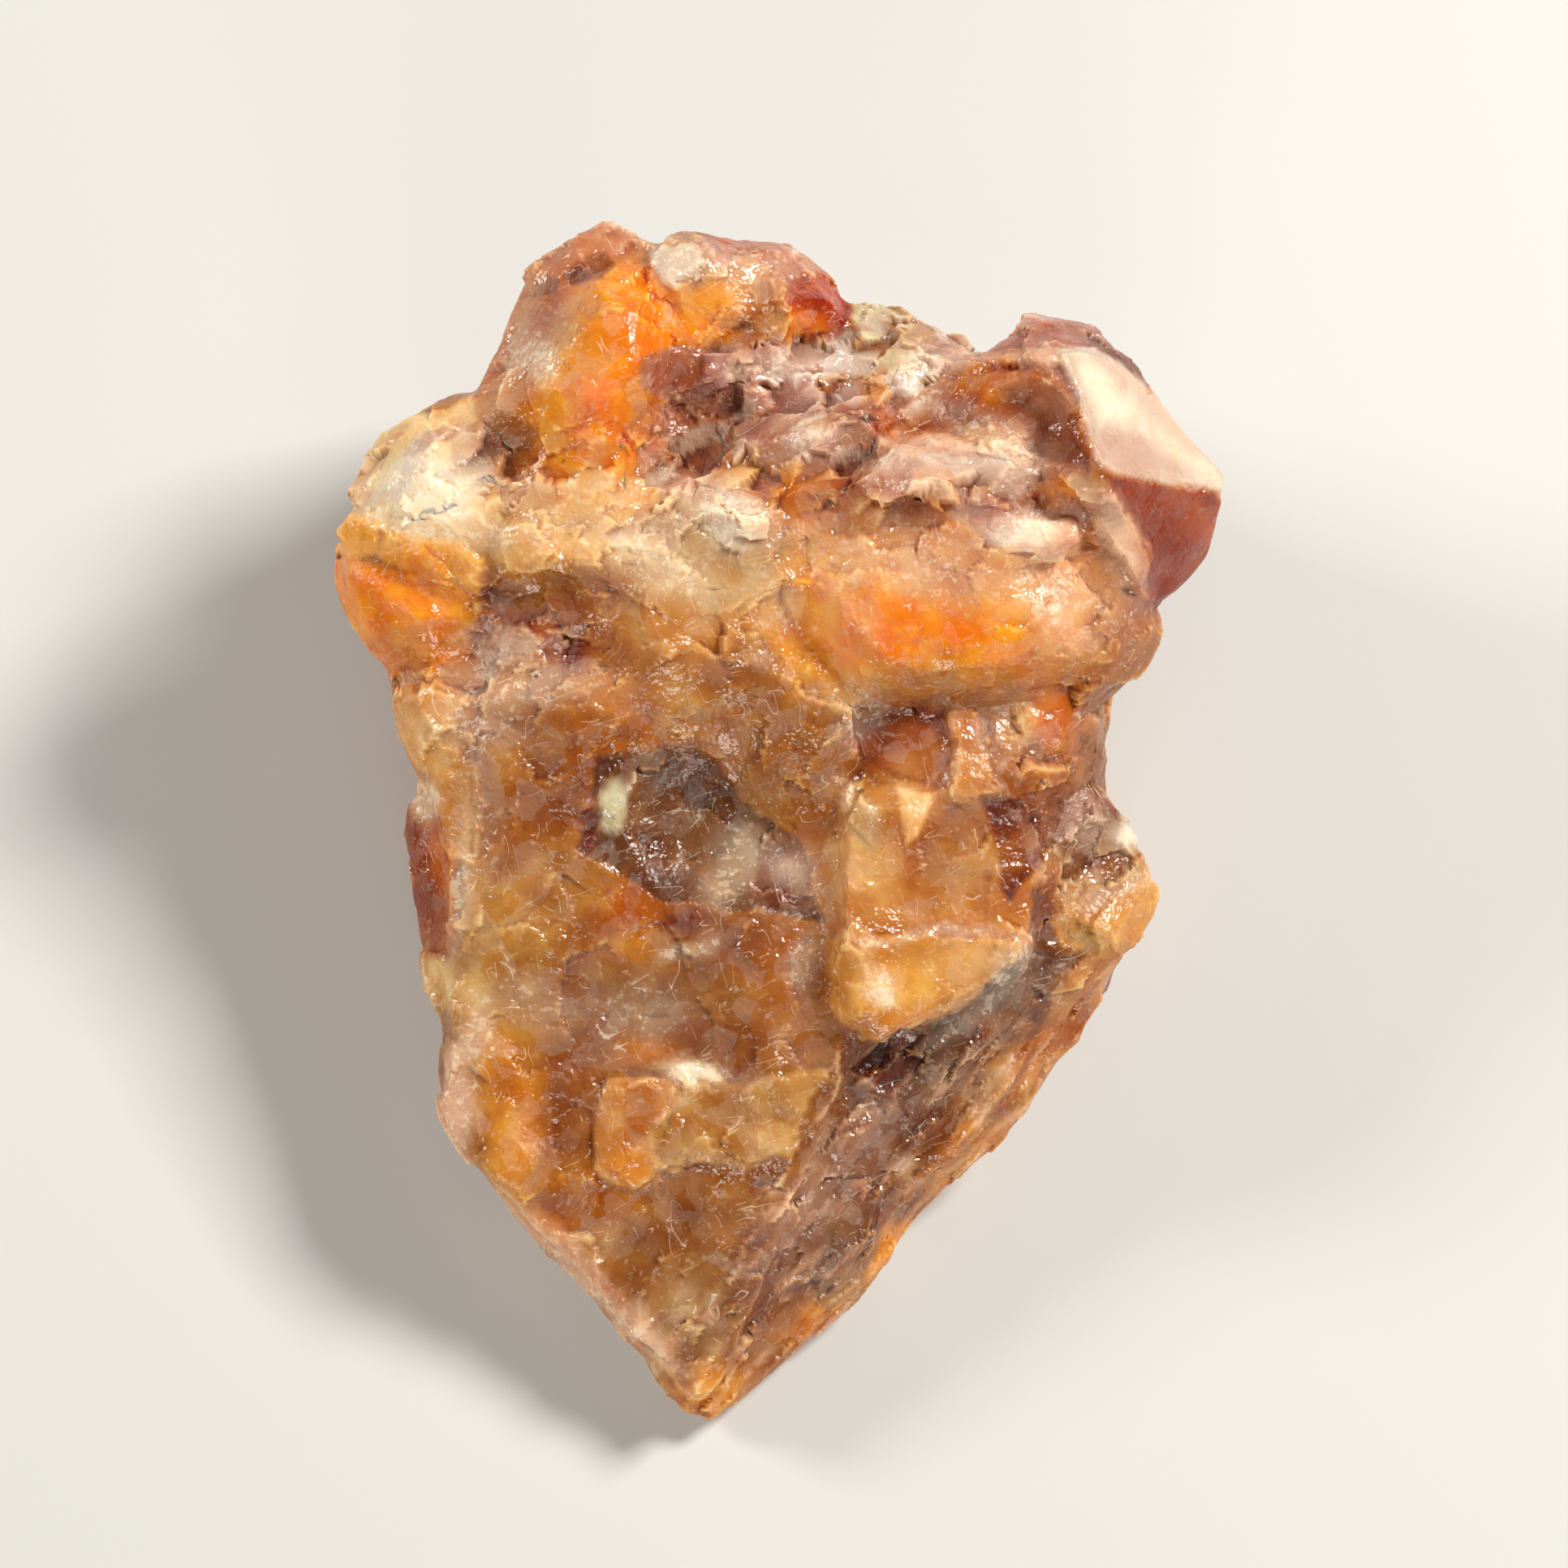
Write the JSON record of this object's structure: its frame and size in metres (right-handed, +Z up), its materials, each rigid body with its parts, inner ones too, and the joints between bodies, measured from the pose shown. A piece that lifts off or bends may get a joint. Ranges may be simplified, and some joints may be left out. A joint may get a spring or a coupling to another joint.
{
  "type": "spessartine garnet specimen",
  "caption": "Rough spessartine garnet hand specimen: intergrown orange crystals on a pointed wedge of broken garnet, resting on its flat broken back.",
  "frame": {"origin": "middle of the specimen's footprint, on the surface that it lies on", "axes": "+Z up, out of the flat broken back; +Y from the pointed end towards the crystals, along the specimen's length; +X to the right, seen from above with the crystals at the top"},
  "size_m": [0.022, 0.0284, 0.0134],
  "materials": {
    "garnet": "glassy, translucent orange to brown, frosted along broken edges"
  },
  "bodies": {
    "root": {"garnet": "garnet"}
  },
  "joints": []
}
